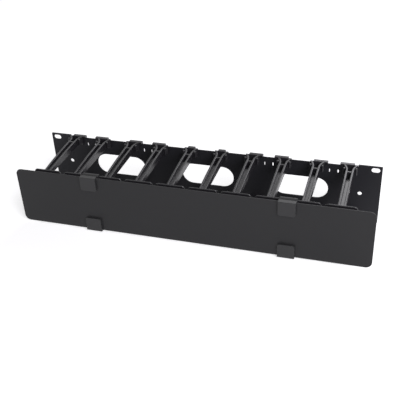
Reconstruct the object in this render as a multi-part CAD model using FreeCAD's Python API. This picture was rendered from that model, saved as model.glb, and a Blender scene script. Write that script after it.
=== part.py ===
import FreeCAD, Part
import os
from math import asin, cos, radians, sin
from FreeCAD import Vector

# Horizontal cable manager, two rack units high, for a 19 inch rack.
#
# A flat steel panel bolts to the rack rails. Rows of plastic fingers grip its
# top and bottom edges and reach forward, each ending in a flat plate, so that
# they form a channel for cables. A flat cover closes the front of the channel:
# four plastic clips grip its long edges and hook round the edges of the
# fingers' plates, and the cover swings up on the upper pair.
#
# Frame, in millimetres: X along the panel, Z up, and Y towards the back of
# the rack. The origin is the middle of the panel's back face, which is the
# face that meets the rails. The lower half mirrors the upper half in Z.

# --- rack panel -----------------------------------------------------------
panel_width = 482.6
panel_height = 88.1
panel_thickness = 1.6
panel_corner_radius = 1.0
rail_slot_from_end = 8.75
rail_slot_spacing_z = 76.2
rail_slot_length = 11.4
rail_slot_width = 7.0
pilot_hole_diameter = 5.8
pilot_hole_from_end = 27.0
ear_length = 19.05
edge_recess = 3.0
edge_recess_margin = 0.2

# --- cable ports through the panel ----------------------------------------
port_count = 3
port_pitch = 133.35
port_width = 76.4
port_height = 32.3
port_lift = 1.3

# --- pairs of tie slots between neighbouring fingers ----------------------
tie_slot_outer_width = 1.7
tie_slot_inner_width = 1.15
tie_slot_height = 5.4
tie_slot_spacing = 11.5
tie_slot_from_edge = 13.05

# --- fingers --------------------------------------------------------------
finger_count = 10
finger_reach = 96.25
root_rise = 2.45
root_ramp = 0.7
arm_width = 10.7
arm_taper = 1.1
arm_underside_drop = 8.0
rib_width = 2.7
rib_rounding = 0.6
groove_floor_drop = 5.0
groove_floor_thickness = 2.2
crossbar_from_panel = 17.0
crossbar_thickness = 2.2
crossbar_drop = 0.6
flare_length = 12.7
flare_spread = 4.3
gusset_radius = 12.0
post_from_panel = 10.2
post_from_middle = 8.0
post_radius = 1.7
post_rise = 0.6
post_height = 9.8
post_rounding = 1.2
post_wall_thickness = 1.6
post_wall_drop = 1.2

# --- the finger's plate ---------------------------------------------------
plate_drop = 1.5
plate_gap = 4.4
plate_height = 27.0
plate_thickness = 2.2
plate_corner_radius = 4.5
plate_edge_slack = 0.05

# --- the finger's grip on the panel ---------------------------------------
foot_width = 19.2
foot_height = 11.0
foot_thickness = 2.2
foot_rounding = 0.9
grip_thickness = 3.35
grip_leg_thickness = 2.0
grip_leg_height = 11.0
hook_outer_reach = 5.1
hook_inner_reach = 14.1

# --- cover ----------------------------------------------------------------
cover_width = 487.0
cover_overhang = 2.2
cover_thickness = 1.5
cover_corner_radius = 8.0
cover_rim_rounding = 0.4
cover_standoff = 8.3

# --- clips ----------------------------------------------------------------
clip_gap_index = 3
clip_shift = 1.25
clip_width = 22.5
clip_wall = 1.8
clip_pad_height = 19.35
clip_pad_thickness = 3.0
clip_roof = 1.0
clip_roof_rounding = 0.6
clip_pad_corner = 3.0
clip_tongue_height = 9.0
clip_web_drop = 1.6
hinge_clearance = 0.3
hook_tip_angle = 70.0

# --- levels, planes and pitches that the pieces share ---------------------
finger_pitch = (panel_width - 2 * ear_length) / finger_count
rail_slot_spacing_x = panel_width - 2 * rail_slot_from_end
tie_slot_z = panel_height / 2 - tie_slot_from_edge
panel_front_y = -panel_thickness
foot_front_y = panel_front_y - foot_thickness
plate_front_y = panel_front_y - finger_reach
plate_back_y = plate_front_y + plate_thickness
cover_back_y = plate_front_y - cover_standoff
cover_front_y = cover_back_y - cover_thickness
edge_z = panel_height / 2 - edge_recess
root_top_z = edge_z + root_rise
underside_z = edge_z - arm_underside_drop
plate_top_z = edge_z - plate_drop
cover_top_z = plate_top_z + cover_overhang
hinge_y = plate_front_y + plate_thickness / 2
hinge_z = plate_top_z - plate_thickness / 2

X_AXIS = Vector(1, 0, 0)
Y_AXIS = Vector(0, 1, 0)
Z_AXIS = Vector(0, 0, 1)


def block(low, high):
    """A box between two opposite corners."""
    size = [b - a for a, b in zip(low, high)]
    return Part.makeBox(size[0], size[1], size[2], Vector(*low))


def upright_oblong(width, height, radius, y0, depth, x=0.0, z=0.0):
    """A plate in the XZ plane with round corners, from y0 over depth."""
    half_w = width / 2
    half_h = height / 2
    quadrants = [(1, 1, 0), (-1, 1, 90), (-1, -1, 180), (1, -1, 270)]
    edges = []
    ends = []
    for side_x, side_z, start in quadrants:
        cx = x + side_x * (half_w - radius)
        cz = z + side_z * (half_h - radius)
        points = []
        for turn in (0, 45, 90):
            angle = radians(start + turn)
            points.append(Vector(cx + radius * cos(angle), y0, cz + radius * sin(angle)))
        edges.append(Part.Arc(*points).toShape())
        ends.append((points[0], points[2]))
    for k in range(4):
        tail = ends[k][1]
        head = ends[(k + 1) % 4][0]
        if tail.distanceToPoint(head) > 1e-6:
            edges.append(Part.LineSegment(tail, head).toShape())
    face = Part.Face(Part.Wire(Part.__sortEdges__(edges)))
    return face.extrude(Y_AXIS * depth)


def mirrored(shape, normal):
    """The shape reflected in the plane through the origin with this normal."""
    return shape.mirror(Vector(0, 0, 0), normal)


def moved(shape, x=0.0, y=0.0, z=0.0):
    """A copy of the shape moved by x, y, z."""
    copy = shape.copy()
    copy.translate(Vector(x, y, z))
    return copy


def finger_positions():
    """Middle of each finger along X, from left to right."""
    return [(k - (finger_count - 1) / 2) * finger_pitch for k in range(finger_count)]


def rear_panel():
    """Flat steel panel with ears, edge recesses, ports and slots."""
    body = upright_oblong(
        panel_width, panel_height, panel_corner_radius, panel_front_y, panel_thickness)
    reach = finger_positions()[-1] + foot_width / 2 + edge_recess_margin
    cuts = []
    for side in (1, -1):
        low_z = min(side * edge_z, side * panel_height)
        high_z = max(side * edge_z, side * panel_height)
        cuts.append(block((-reach, -2 * panel_thickness, low_z), (reach, panel_thickness, high_z)))
    cuts += panel_ports() + rail_slots() + tie_slots()
    for side in (1, -1):
        hole_x = side * (panel_width / 2 - pilot_hole_from_end)
        start = Vector(hole_x, -2 * panel_thickness, 0)
        cuts.append(Part.makeCylinder(pilot_hole_diameter / 2, 3 * panel_thickness, start, Y_AXIS))
    return body.cut(cuts)


def through_slot(width, height, x, z):
    """A tool that cuts a round-ended slot right through the panel."""
    radius = min(width, height) / 2
    return upright_oblong(width, height, radius, -2 * panel_thickness, 3 * panel_thickness, x, z)


def panel_ports():
    """The large obround openings that cables pass back through."""
    first = -(port_count - 1) / 2 * port_pitch
    return [
        through_slot(port_width, port_height, first + k * port_pitch, port_lift)
        for k in range(port_count)
    ]


def rail_slots():
    """The four slots in the ears that take the rack screws."""
    half_x = rail_slot_spacing_x / 2
    half_z = rail_slot_spacing_z / 2
    return [
        through_slot(rail_slot_length, rail_slot_width, side_x * half_x, side_z * half_z)
        for side_x in (1, -1)
        for side_z in (1, -1)
    ]


def tie_slots():
    """Two narrow slots between the fingers of each outer pair, above and below."""
    tools = []
    pairs = finger_count // 2
    for k in range(pairs):
        middle = (2 * k - (pairs - 1)) * finger_pitch
        if abs(middle) < port_width / 2:
            continue
        for side_x in (1, -1):
            outer = side_x * middle > 0
            width = tie_slot_outer_width if outer else tie_slot_inner_width
            x = middle + side_x * tie_slot_spacing / 2
            for side_z in (1, -1):
                tools.append(through_slot(width, tie_slot_height, x, side_z * tie_slot_z))
    return tools


def arm_profile():
    """The arm seen from its side: a low ramp at the root, then a shallow arch to the plate."""
    bend_y = foot_front_y - flare_length
    length = bend_y - hinge_y
    drop = root_top_z - plate_top_z
    radius = (length ** 2 + drop ** 2) / (2 * drop)
    sweep = asin(length / radius)

    def on_arch(turn):
        return Vector(0, bend_y - radius * sin(turn), root_top_z - radius * (1 - cos(turn)))

    foot_y = foot_front_y + foot_thickness / 2
    low_front = Vector(0, hinge_y, underside_z)
    low_back = Vector(0, foot_y, underside_z)
    high_back = Vector(0, foot_y, root_top_z + root_ramp)
    outline = [
        Part.LineSegment(low_front, low_back),
        Part.LineSegment(low_back, high_back),
        Part.LineSegment(high_back, on_arch(0)),
        Part.Arc(on_arch(0), on_arch(sweep / 2), on_arch(sweep)),
        Part.LineSegment(on_arch(sweep), low_front),
    ]
    return Part.Face(Part.Wire([piece.toShape() for piece in outline]))


def flared_rib():
    """One of the arm's two side walls: nearly straight, then curving out to the foot."""
    middle = (arm_width - rib_width) / 2
    half = rib_width / 2
    bend_y = foot_front_y - flare_length
    radius = (flare_length ** 2 + flare_spread ** 2) / (2 * flare_spread)
    sweep = asin(flare_length / radius)
    centre_x = middle + radius

    def on_arc(distance, turn):
        return Vector(centre_x - distance * cos(turn), bend_y + distance * sin(turn), underside_z)

    inner = radius + half
    outer = radius - half
    foot_y = foot_front_y + foot_thickness / 2
    inner_end = on_arc(inner, sweep)
    outer_end = on_arc(outer, sweep)
    inner_foot = Vector(inner_end.x, foot_y, underside_z)
    outer_foot = Vector(outer_end.x, foot_y, underside_z)
    inner_front = Vector(middle - half - arm_taper / 2, hinge_y, underside_z)
    outer_front = Vector(middle + half - arm_taper / 2, hinge_y, underside_z)
    outline = [
        Part.LineSegment(inner_front, on_arc(inner, 0)),
        Part.Arc(on_arc(inner, 0), on_arc(inner, sweep / 2), inner_end),
        Part.LineSegment(inner_end, inner_foot),
        Part.LineSegment(inner_foot, outer_foot),
        Part.LineSegment(outer_foot, outer_end),
        Part.Arc(outer_end, on_arc(outer, sweep / 2), on_arc(outer, 0)),
        Part.LineSegment(on_arc(outer, 0), outer_front),
        Part.LineSegment(outer_front, inner_front),
    ]
    face = Part.Face(Part.Wire([piece.toShape() for piece in outline]))
    wall = face.extrude(Z_AXIS * (root_top_z + root_ramp - underside_z))
    rib = wall.common(arm_profile().extrude(X_AXIS * foot_width))
    return rib.makeFillet(rib_rounding, lengthwise_edges(rib))


def lengthwise_edges(rib):
    """The rib's upper and lower edges along its length."""
    return [edge for edge in rib.Edges if edge.BoundBox.YLength > foot_thickness]


def root_post():
    """A round boss beside the rib where it bends, tied to the rib by a short wall."""
    post_y = panel_front_y - post_from_panel
    top_z = root_top_z + post_rise
    low_z = top_z - post_height
    post = Part.makeCylinder(post_radius, post_height, Vector(post_from_middle, post_y, low_z), Z_AXIS)
    rims = [edge for edge in post.Edges if edge.BoundBox.ZMin > top_z - 1e-6]
    post = post.makeFillet(post_rounding, rims)
    wall = block(
        ((arm_width - rib_width) / 2, post_y - post_wall_thickness / 2, low_z),
        (post_from_middle, post_y + post_wall_thickness / 2, root_top_z - post_wall_drop))
    return post.fuse(wall)


def arm_floor():
    """The web between the ribs, the crossbar that closes it, and the gusset at the plate."""
    half = arm_width / 2 - rib_width + rib_rounding
    bar_back_y = panel_front_y - crossbar_from_panel
    bar_front_y = bar_back_y - crossbar_thickness
    floor_top_z = edge_z - groove_floor_drop
    floor_low_z = floor_top_z - groove_floor_thickness
    floor = block((-half, hinge_y, floor_low_z), (half, bar_back_y, floor_top_z))
    bar = block(
        (-half, bar_front_y, floor_low_z), (half, bar_back_y, root_top_z - crossbar_drop))
    web = block(
        (-half, hinge_y, underside_z - gusset_radius),
        (half, plate_back_y + gusset_radius, floor_top_z))
    hollow = Part.makeCylinder(
        gusset_radius, 4 * half,
        Vector(-2 * half, plate_back_y + gusset_radius, underside_z - gusset_radius), X_AXIS)
    return floor.fuse([bar, web.cut(hollow)])


def finger_plate():
    """The flat plate at the finger's front end, with rounded edges."""
    width = finger_pitch - plate_gap
    middle_z = plate_top_z - plate_height / 2
    plate = upright_oblong(
        width, plate_height, plate_corner_radius, plate_front_y, plate_thickness, 0.0, middle_z)
    rims = [edge for edge in plate.Edges if edge.BoundBox.YLength < 1e-6]
    return plate.makeFillet(plate_thickness / 2 - plate_edge_slack, rims)


def finger_foot():
    """The foot on the panel's front face, with rounded shoulders."""
    half = foot_width / 2
    foot = block(
        (-half, foot_front_y, edge_z - foot_height), (half, panel_front_y, root_top_z))
    rims = [edge for edge in foot.Edges if edge.BoundBox.YMax < foot_front_y + 1e-6]
    return foot.makeFillet(foot_rounding, rims)


def finger_grip(left, right):
    """The hook over the panel's edge and its leg behind the panel."""
    bridge = block(
        (left, foot_front_y, edge_z), (right, grip_leg_thickness, edge_z + grip_thickness))
    leg = block((left, 0, edge_z - grip_leg_height), (right, grip_leg_thickness, edge_z))
    grip = bridge.fuse(leg).removeSplitter()
    rims = [
        edge for edge in grip.Edges
        if edge.BoundBox.XLength > rib_width and edge.BoundBox.ZMin > edge_z + 1e-6
    ]
    return grip.makeFillet(foot_rounding, rims)


def upper_finger(hook_side):
    """One moulded finger of the upper row; its long hook points to hook_side."""
    left = -hook_outer_reach
    right = hook_outer_reach
    if hook_side > 0:
        right = hook_inner_reach
    if hook_side < 0:
        left = -hook_inner_reach
    side_wall = flared_rib().fuse(root_post())
    pieces = [side_wall, mirrored(side_wall, X_AXIS), arm_floor()]
    pieces += [finger_foot(), finger_grip(left, right)]
    return finger_plate().fuse(pieces).removeSplitter()


def front_cover():
    """Flat cover with round corners and softened rims."""
    cover = upright_oblong(
        cover_width, 2 * cover_top_z, cover_corner_radius, cover_front_y, cover_thickness)
    rims = [edge for edge in cover.Edges if edge.BoundBox.YLength < 1e-6]
    return cover.makeFillet(cover_rim_rounding, rims)


def hinge_hook():
    """The hook that turns on the round edge of the fingers' plates, and its front leg."""
    inner = plate_thickness / 2 + hinge_clearance
    outer = inner + clip_wall
    low_z = cover_top_z - clip_tongue_height
    middle_angle = (hook_tip_angle + 180) / 2

    def on_ring(radius, angle):
        turn = radians(angle)
        return Vector(-clip_width / 2, hinge_y + radius * cos(turn), hinge_z + radius * sin(turn))

    inner_foot = Vector(-clip_width / 2, hinge_y - inner, low_z)
    outer_foot = Vector(-clip_width / 2, hinge_y - outer, low_z)
    outline = [
        Part.Arc(on_ring(inner, hook_tip_angle), on_ring(inner, middle_angle), on_ring(inner, 180)),
        Part.LineSegment(on_ring(inner, 180), inner_foot),
        Part.LineSegment(inner_foot, outer_foot),
        Part.LineSegment(outer_foot, on_ring(outer, 180)),
        Part.Arc(on_ring(outer, 180), on_ring(outer, middle_angle), on_ring(outer, hook_tip_angle)),
        Part.LineSegment(on_ring(outer, hook_tip_angle), on_ring(inner, hook_tip_angle)),
    ]
    face = Part.Face(Part.Wire([piece.toShape() for piece in outline]))
    return face.extrude(X_AXIS * clip_width)


def cover_grip():
    """The fold that wraps the cover's long edge: pad in front, roof over it, tongue behind."""
    half = clip_width / 2
    pad_front_y = cover_front_y - clip_pad_thickness
    tongue_back_y = cover_back_y + clip_wall
    roof_z = cover_top_z + clip_roof
    pad_low_z = cover_top_z - clip_pad_height
    pad_middle_z = (roof_z + pad_low_z) / 2
    pad = upright_oblong(
        clip_width, roof_z - pad_low_z, clip_pad_corner, pad_front_y, clip_pad_thickness,
        0.0, pad_middle_z)
    shoulder = block((-half, pad_front_y, pad_middle_z), (half, cover_front_y, roof_z))
    roof = block((-half, cover_front_y, cover_top_z), (half, tongue_back_y, roof_z))
    tongue = block(
        (-half, cover_back_y, cover_top_z - clip_tongue_height), (half, tongue_back_y, cover_top_z))
    fold = pad.fuse([shoulder, roof, tongue]).removeSplitter()
    rims = [
        edge for edge in fold.Edges
        if edge.BoundBox.ZMin > roof_z - 1e-6 and edge.BoundBox.YMax < pad_front_y + 1e-6
    ]
    return fold.makeFillet(clip_roof_rounding, rims)


def upper_clip():
    """One moulded clip for the upper edge, centred on X = 0."""
    half = clip_width / 2
    hook_front_y = hinge_y - plate_thickness / 2 - hinge_clearance - clip_wall
    web = block(
        (-half, cover_back_y, cover_top_z - clip_tongue_height),
        (half, hook_front_y + clip_wall, hinge_z - clip_web_drop))
    return cover_grip().fuse([hinge_hook(), web]).removeSplitter()


def hook_sides():
    """Which way each finger's long hook points: to its partner, but 0 for the middle two."""
    sides = [1 if k % 2 == 0 else -1 for k in range(finger_count)]
    for k in (finger_count // 2 - 1, finger_count // 2):
        sides[k] = 0
    return sides


def write(name, shape):
    """Write one piece and say what was written."""
    shape.exportStep("parts/" + name + ".step")
    print(name, "solids", len(shape.Solids), "valid", shape.isValid(), "volume", round(shape.Volume, 1))


def main():
    os.makedirs("parts", exist_ok=True)
    write("rear_panel", rear_panel())
    patterns = {side: upper_finger(side) for side in (-1, 0, 1)}
    for k, (x, side) in enumerate(zip(finger_positions(), hook_sides())):
        upper = moved(patterns[side], x=x)
        write("finger_top_%02d" % (k + 1), upper)
        write("finger_bottom_%02d" % (k + 1), mirrored(upper, Z_AXIS))
    write("front_cover", front_cover())
    clip = upper_clip()
    clip_x = clip_gap_index * finger_pitch + clip_shift
    for side, word in ((-1, "left"), (1, "right")):
        upper = moved(clip, x=side * clip_x)
        write("clip_top_" + word, upper)
        write("clip_bottom_" + word, mirrored(upper, Z_AXIS))


main()
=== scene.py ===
# %% [markdown]
# # A horizontal cable manager
#
# This lesson dresses a horizontal cable manager for a 19 inch rack: a flat
# black steel panel, two rows of moulded plastic fingers that grip its edges,
# and a flat cover held by four clips. The shapes come ready from the CAD
# model. What is left to do is the part that a buyer sees first: the powder
# coat on the steel, the moulded skin of the plastic, and soft studio light
# that shows a black object without turning it into a black hole.

from math import cos, radians, sin

import bpy
from mathutils import Matrix, Vector


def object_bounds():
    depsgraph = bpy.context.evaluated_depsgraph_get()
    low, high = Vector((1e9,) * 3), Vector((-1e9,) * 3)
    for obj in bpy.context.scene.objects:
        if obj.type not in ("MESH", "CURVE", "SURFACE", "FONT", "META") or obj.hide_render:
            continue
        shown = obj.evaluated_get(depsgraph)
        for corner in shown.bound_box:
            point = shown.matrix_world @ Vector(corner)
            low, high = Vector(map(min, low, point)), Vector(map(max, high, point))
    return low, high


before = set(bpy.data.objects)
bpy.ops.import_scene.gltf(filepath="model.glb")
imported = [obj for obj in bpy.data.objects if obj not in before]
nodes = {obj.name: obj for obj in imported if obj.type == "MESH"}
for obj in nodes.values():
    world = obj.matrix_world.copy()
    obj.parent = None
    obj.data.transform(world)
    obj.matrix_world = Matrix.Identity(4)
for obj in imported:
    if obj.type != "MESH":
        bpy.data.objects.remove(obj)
cad_box = [list(corner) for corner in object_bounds()]
print("nodes", len(nodes), "box", [[round(v, 4) for v in corner] for corner in cad_box])

MM = 0.001
scene = bpy.context.scene
scene.view_settings.view_transform = "Standard"

# %% [markdown]
# ## The camera
#
# The manager is seen from in front, a little to its right and well above, so
# that the open top of the channel shows behind the cover. A camera can be
# aimed with a Track To constraint, but that leaves no room for a small roll.
# Here its three axes are worked out from the angles and written straight into
# its matrix: azimuth turns it about the vertical, elevation lifts it, and the
# roll tips the horizon by about three degrees.

# %% Place the camera
VIEW_AZIMUTH = radians(18.50)
VIEW_ELEVATION = radians(32.76)
VIEW_ROLL = radians(-3.08)
VIEW_PLACE = Vector((261.80, -825.41, 515.82)) * MM
SENSOR_WIDTH = 36
LENS_LENGTH = 63.02


def view_axes(azimuth, elevation, roll):
    """The camera's right, up and backward directions."""
    back = Vector((sin(azimuth) * cos(elevation), -cos(azimuth) * cos(elevation), sin(elevation)))
    level = Vector((cos(azimuth), sin(azimuth), 0))
    upright = back.cross(level)
    right = level * cos(roll) + upright * sin(roll)
    up = upright * cos(roll) - level * sin(roll)
    return right, up, back


camera_data = bpy.data.cameras.new("camera")
camera_data.sensor_width = SENSOR_WIDTH
camera_data.lens = LENS_LENGTH
camera_data.clip_start = 0.01
camera_data.clip_end = 100
camera = bpy.data.objects.new("camera", camera_data)
scene.collection.objects.link(camera)
camera.matrix_world = Matrix.Translation(VIEW_PLACE) @ Matrix(
    view_axes(VIEW_AZIMUTH, VIEW_ELEVATION, VIEW_ROLL)).transposed().to_4x4()
scene.camera = camera
print("camera at", [round(v, 3) for v in camera.location], "lens", round(camera_data.lens, 2), "mm")

# %% [markdown]
# ## Floor and surroundings
#
# Catalogue pictures stand an object on white paper. Black parts get most of
# their form from what they reflect, so the paper has to be white for
# reflected rays as well as for the camera. The Light Path node tells these
# rays apart: the camera and glossy rays see plain white, while the rays that
# light the object see almost nothing, which keeps the black black and leaves
# the shaping to the lamps. The floor is a matt surface, so it takes the
# object's shadow, and a glow of its own lifts the rest of it to white.

# %% Surround the object with white
FLOOR_LEVEL = cad_box[0][2]
AMBIENT = 0.12


def add_seen_directly(tree):
    """A value of 1 for rays that look at the background, 0 for rays that light the object."""
    path = tree.nodes.new("ShaderNodeLightPath")
    direct = tree.nodes.new("ShaderNodeMath")
    direct.operation = "MAXIMUM"
    either = tree.nodes.new("ShaderNodeMath")
    either.operation = "MAXIMUM"
    tree.links.new(path.outputs["Is Camera Ray"], direct.inputs[0])
    tree.links.new(path.outputs["Is Glossy Ray"], direct.inputs[1])
    tree.links.new(direct.outputs[0], either.inputs[0])
    tree.links.new(path.outputs["Is Transmission Ray"], either.inputs[1])
    return either.outputs[0]


world = bpy.data.worlds.new("white studio")
scene.world = world
world.use_nodes = True
sky = world.node_tree
sky.nodes.clear()
strength = sky.nodes.new("ShaderNodeMapRange")
strength.inputs["To Min"].default_value = AMBIENT
strength.inputs["To Max"].default_value = 1.0
background = sky.nodes.new("ShaderNodeBackground")
background.inputs["Color"].default_value = (1, 1, 1, 1)
sky_out = sky.nodes.new("ShaderNodeOutputWorld")
sky.links.new(add_seen_directly(sky), strength.inputs["Value"])
sky.links.new(strength.outputs["Result"], background.inputs["Strength"])
sky.links.new(background.outputs["Background"], sky_out.inputs["Surface"])
print("ambient light", AMBIENT, "background", 1.0)

# %% Lay the floor
FLOOR_HALF = 6.0
FLOOR_WHITE = 0.86
FLOOR_GLOW = 0.60


def floor_material():
    """Matt white paper that keeps a soft shadow and looks white round it."""
    material = bpy.data.materials.new("studio paper")
    material.use_nodes = True
    tree = material.node_tree
    tree.nodes.clear()
    matt = tree.nodes.new("ShaderNodeBsdfDiffuse")
    matt.inputs["Color"].default_value = (FLOOR_WHITE, FLOOR_WHITE, FLOOR_WHITE, 1)
    lift = tree.nodes.new("ShaderNodeEmission")
    lift.inputs["Color"].default_value = (1, 1, 1, 1)
    scaled = tree.nodes.new("ShaderNodeMath")
    scaled.operation = "MULTIPLY"
    scaled.inputs[1].default_value = FLOOR_GLOW
    both = tree.nodes.new("ShaderNodeAddShader")
    out = tree.nodes.new("ShaderNodeOutputMaterial")
    tree.links.new(add_seen_directly(tree), scaled.inputs[0])
    tree.links.new(scaled.outputs[0], lift.inputs["Strength"])
    tree.links.new(matt.outputs[0], both.inputs[0])
    tree.links.new(lift.outputs[0], both.inputs[1])
    tree.links.new(both.outputs[0], out.inputs["Surface"])
    return material


floor_corners = [(x * FLOOR_HALF, y * FLOOR_HALF, FLOOR_LEVEL)
                 for x, y in ((-1, -1), (1, -1), (1, 1), (-1, 1))]
floor_mesh = bpy.data.meshes.new("floor")
floor_mesh.from_pydata(floor_corners, [], [(0, 1, 2, 3)])
floor = bpy.data.objects.new("floor", floor_mesh)
floor.data.materials.append(floor_material())
scene.collection.objects.link(floor)
print("floor level", round(FLOOR_LEVEL, 4))

# %% [markdown]
# ## Lamps
#
# Two large soft lamps do the work. The rib lamp hangs behind and to the
# right: its light skims forward over the tops of the fingers, so that the
# ribs carry thin bright lines that grow stronger towards the right end. The
# front lamp stands high in front, also to the right. It lights the flat
# cover, which has nothing but this even light to show its colour by. Both
# are faintly cool, as daylight is. Area lamps are used because a small lamp
# would print hard shadows on the panel.

# %% Hang the lamps
LAMP_TARGET = Vector((0, -0.05, 0))
LAMPS = {
    "rib lamp": ((0.58, 1.50, 1.15), 1.4, 20.0, (0.97, 0.96, 1.0)),
    "front lamp": ((1.25, -1.40, 1.20), 1.2, 38.0, (0.96, 0.94, 1.0)),
}

for name, (place, side, power, colour) in LAMPS.items():
    data = bpy.data.lights.new(name, "AREA")
    data.shape = "SQUARE"
    data.size = side
    data.energy = power
    data.color = colour
    lamp = bpy.data.objects.new(name, data)
    lamp.location = place
    aim = LAMP_TARGET - Vector(place)
    lamp.rotation_euler = aim.to_track_quat("-Z", "Y").to_euler()
    scene.collection.objects.link(lamp)
    print(name, "side", side, "m,", power, "W")

# %% [markdown]
# ## Skin effects as node groups
#
# Powder coat and moulded plastic are both black, and what tells them apart is
# how their surface breaks up a reflection. Powder melts into a gently rolling
# skin called orange peel, with a finer sparkle on top. Moulded plastic copies
# the spark-eroded steel of its mould: a fine even grain. Both can be made by
# one group of noise textures with its own numbers in each material. The group
# hands out a height for the bump, a small shift in roughness and a small
# shift in tone.

# %% Group: rolling skin and fine grain


def new_group(name, inputs, outputs):
    """An empty shader group with named value inputs and outputs."""
    group = bpy.data.node_groups.new(name, "ShaderNodeTree")
    for label, value in inputs:
        socket = group.interface.new_socket(label, in_out="INPUT", socket_type="NodeSocketFloat")
        socket.default_value = value
    for label in outputs:
        group.interface.new_socket(label, in_out="OUTPUT", socket_type="NodeSocketFloat")
    return group, group.nodes.new("NodeGroupInput"), group.nodes.new("NodeGroupOutput")


def add_math(tree, operation, first, second):
    """A math node between two sockets or plain numbers."""
    node = tree.nodes.new("ShaderNodeMath")
    node.operation = operation
    for slot, value in enumerate((first, second)):
        if isinstance(value, (int, float)):
            node.inputs[slot].default_value = value
        else:
            tree.links.new(value, node.inputs[slot])
    return node.outputs[0]


def add_noise(tree, place, size, detail):
    """Noise whose bumps are about size across, centred on zero."""
    noise = tree.nodes.new("ShaderNodeTexNoise")
    noise.inputs["Detail"].default_value = detail
    tree.links.new(place, noise.inputs["Vector"])
    tree.links.new(add_math(tree, "DIVIDE", 1.0, size), noise.inputs["Scale"])
    return add_math(tree, "SUBTRACT", noise.outputs["Fac"], 0.5)


skin, skin_in, skin_out = new_group(
    "coated skin",
    (("Roll Size", 0.0016), ("Roll Height", 0.00001), ("Grain Size", 0.0003),
     ("Grain Height", 0.000004), ("Patch Size", 0.05)),
    ("Height", "Roughness Shift", "Tone Shift"))
place = skin.nodes.new("ShaderNodeTexCoord").outputs["Object"]
roll = add_noise(skin, place, skin_in.outputs["Roll Size"], 1.0)
grain = add_noise(skin, place, skin_in.outputs["Grain Size"], 2.0)
patch = add_noise(skin, place, skin_in.outputs["Patch Size"], 3.0)
rolled = add_math(skin, "MULTIPLY", roll, skin_in.outputs["Roll Height"])
grained = add_math(skin, "MULTIPLY", grain, skin_in.outputs["Grain Height"])
skin.links.new(add_math(skin, "ADD", rolled, grained), skin_out.inputs["Height"])
skin.links.new(add_math(skin, "ADD", patch, grain), skin_out.inputs["Roughness Shift"])
skin.links.new(patch, skin_out.inputs["Tone Shift"])
print("group", skin.name, "outputs", [s.name for s in skin_out.inputs if s.name])

# %% [markdown]
# ## Soft edges
#
# No edge on a real part is perfectly sharp. A powder-coated edge is rounded
# by the coat, and a moulded edge by the cutter that made the mould. At this
# size the rounding is a fraction of a millimetre, so it is given by the Bevel
# node, which bends the normal near an edge and costs no geometry. The same
# node finds the edge itself: where the bent normal leaves the true one, the
# base colour is made lighter, a painted highlight along the edge.

# %% Group: soft edge and painted edge highlight
BEVEL_SAMPLES = 6
FULLY_BENT = 0.7

edge, edge_in, edge_out = new_group("soft edge", (("Radius", 0.0003),), ("Edge Highlight",))
edge.interface.new_socket("Normal", in_out="OUTPUT", socket_type="NodeSocketVector")
bevel = edge.nodes.new("ShaderNodeBevel")
bevel.samples = BEVEL_SAMPLES
edge.links.new(edge_in.outputs["Radius"], bevel.inputs["Radius"])
geometry = edge.nodes.new("ShaderNodeNewGeometry")
facing = edge.nodes.new("ShaderNodeVectorMath")
facing.operation = "DOT_PRODUCT"
edge.links.new(bevel.outputs["Normal"], facing.inputs[0])
edge.links.new(geometry.outputs["Normal"], facing.inputs[1])
# the edge mask: how far the bent normal leaves the true one, used by the finishes to paint a
# highlight along edges
bent = edge.nodes.new("ShaderNodeMapRange")
bent.inputs["From Min"].default_value = 1.0
bent.inputs["From Max"].default_value = FULLY_BENT
edge.links.new(facing.outputs["Value"], bent.inputs["Value"])
edge.links.new(bent.outputs["Result"], edge_out.inputs["Edge Highlight"])
edge.links.new(bevel.outputs["Normal"], edge_out.inputs["Normal"])
print("group", edge.name, "outputs", [s.name for s in edge_out.inputs if s.name])

# %% [markdown]
# ## The materials
#
# All four finishes are near-black. A black that is too deep shows no form,
# and real black paint and plastic return about two percent of the light, so
# the base colours lie close to that. The panel and cover share a powder coat.
# The cover's is the smoother one, and the panel's base colour is set darker,
# painted shade for the shade that falls inside the channel. The fingers and
# clips are moulded from black plastic with a satin skin that is glossier than
# the paint. A matt coat scatters its surface reflection among its own grains,
# so the specular level is set lower for the paints than for the plastics.

# %% Build the finishes


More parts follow.
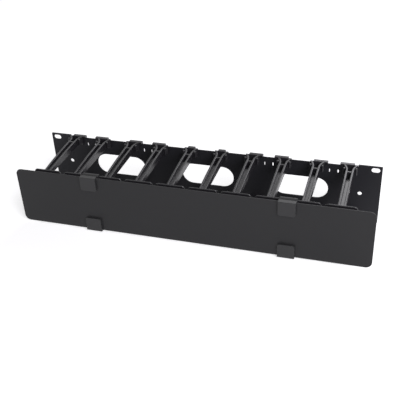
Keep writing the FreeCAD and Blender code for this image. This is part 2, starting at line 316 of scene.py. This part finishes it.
def finish(name, colour, roughness, gloss, rough_swing, tone_swing,
           edge_radius, edge_highlight_paint, skin_values):
    """A Principled material whose colour, roughness and normal come from the shared groups."""
    material = bpy.data.materials.new(name)
    material.use_nodes = True
    tree = material.node_tree
    shader = tree.nodes["Principled BSDF"]
    shader.inputs["Specular IOR Level"].default_value = gloss
    surface = tree.nodes.new("ShaderNodeGroup")
    surface.node_tree = skin
    for label, value in skin_values.items():
        surface.inputs[label].default_value = value
    corner = tree.nodes.new("ShaderNodeGroup")
    corner.node_tree = edge
    corner.inputs["Radius"].default_value = edge_radius

    tone = add_math(tree, "MULTIPLY_ADD", surface.outputs["Tone Shift"], tone_swing)
    tone.node.inputs[2].default_value = 1.0
    # painted highlight: the base colour is made lighter along the edges found by the soft edge
    # group
    lift = add_math(tree, "MULTIPLY", corner.outputs["Edge Highlight"], edge_highlight_paint)
    level = add_math(tree, "ADD", tone, lift)
    tint = tree.nodes.new("ShaderNodeVectorMath")
    tint.operation = "SCALE"
    tint.inputs[0].default_value = colour
    tree.links.new(level, tint.inputs["Scale"])
    tree.links.new(tint.outputs["Vector"], shader.inputs["Base Color"])

    rough = add_math(tree, "MULTIPLY_ADD", surface.outputs["Roughness Shift"], rough_swing)
    rough.node.inputs[2].default_value = roughness
    tree.links.new(rough, shader.inputs["Roughness"])

    bump = tree.nodes.new("ShaderNodeBump")
    bump.inputs["Distance"].default_value = 1.0  # the heights are already in metres
    tree.links.new(surface.outputs["Height"], bump.inputs["Height"])
    tree.links.new(corner.outputs["Normal"], bump.inputs["Normal"])
    tree.links.new(bump.outputs["Normal"], shader.inputs["Normal"])
    return material


POWDER_SKIN = {"Roll Size": 0.0018, "Roll Height": 0.000016, "Grain Size": 0.0004,
               "Grain Height": 0.000006, "Patch Size": 0.06}
COVER_SKIN = {"Roll Size": 0.0022, "Roll Height": 0.000012, "Grain Size": 0.0004,
              "Grain Height": 0.000005, "Patch Size": 0.09}
MOULD_SKIN = {"Roll Size": 0.0060, "Roll Height": 0.00002, "Grain Size": 0.0003,
              "Grain Height": 0.000006, "Patch Size": 0.03}

# painted shade: the panel's base colour is darker than the cover's to darken the inside of the
# channel
panel_paint = finish(
    "panel paint", colour=(0.015, 0.015, 0.018), roughness=0.50, gloss=0.22,
    rough_swing=0.10, tone_swing=0.2, edge_radius=0.0003, edge_highlight_paint=0.5,
    skin_values=POWDER_SKIN)
cover_paint = finish(
    "cover paint", colour=(0.020, 0.020, 0.021), roughness=0.48, gloss=0.25,
    rough_swing=0.08, tone_swing=0.15, edge_radius=0.0004, edge_highlight_paint=0.6,
    skin_values=COVER_SKIN)
finger_plastic = finish(
    "finger plastic", colour=(0.020, 0.019, 0.022), roughness=0.25, gloss=0.38,
    rough_swing=0.08, tone_swing=0.2, edge_radius=0.0004, edge_highlight_paint=0.3,
    skin_values=MOULD_SKIN)
clip_plastic = finish(
    "clip plastic", colour=(0.027, 0.027, 0.028), roughness=0.42, gloss=0.33,
    rough_swing=0.10, tone_swing=0.2, edge_radius=0.0004, edge_highlight_paint=0.3,
    skin_values=MOULD_SKIN)

# %% [markdown]
# ## Dressing the pieces
#
# Each piece's name begins with what it is, so the first word picks its
# finish: the rear panel, the front cover, a finger or a clip. All twenty
# fingers share one material, as they would come out of one mould.

# %% Dress the pieces
FINISH_OF = {"rear": panel_paint, "front": cover_paint,
             "finger": finger_plastic, "clip": clip_plastic}
for name, node in nodes.items():
    node.data.materials.clear()
    node.data.materials.append(FINISH_OF[name.split("_")[0]])
print("finishes", sorted({node.data.materials[0].name for node in nodes.values()}))
